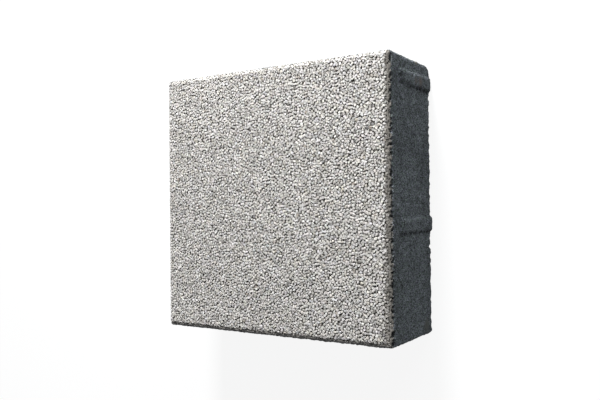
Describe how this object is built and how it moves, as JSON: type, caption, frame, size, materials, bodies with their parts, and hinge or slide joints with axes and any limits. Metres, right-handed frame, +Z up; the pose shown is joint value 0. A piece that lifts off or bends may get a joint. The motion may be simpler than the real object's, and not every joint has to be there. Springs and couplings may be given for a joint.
{
  "type": "concrete paver",
  "caption": "Square pressed concrete paver with a bevelled wearing face of exposed stone chips and low spacer lugs on its sides, laid on a sand bed to pave paths and yards.",
  "frame": {"origin": "middle of the bedding face, on the floor that the paver lies on", "axes": "+Z straight up through the wearing face, X and Y square to the four sides"},
  "size_m": [0.2014, 0.2014, 0.07],
  "materials": {
    "concrete": "matt pressed concrete, mid grey on the sides and bed, with pale granite chips showing on the wearing face"
  },
  "bodies": {
    "root": {"paver": "concrete"}
  },
  "joints": []
}
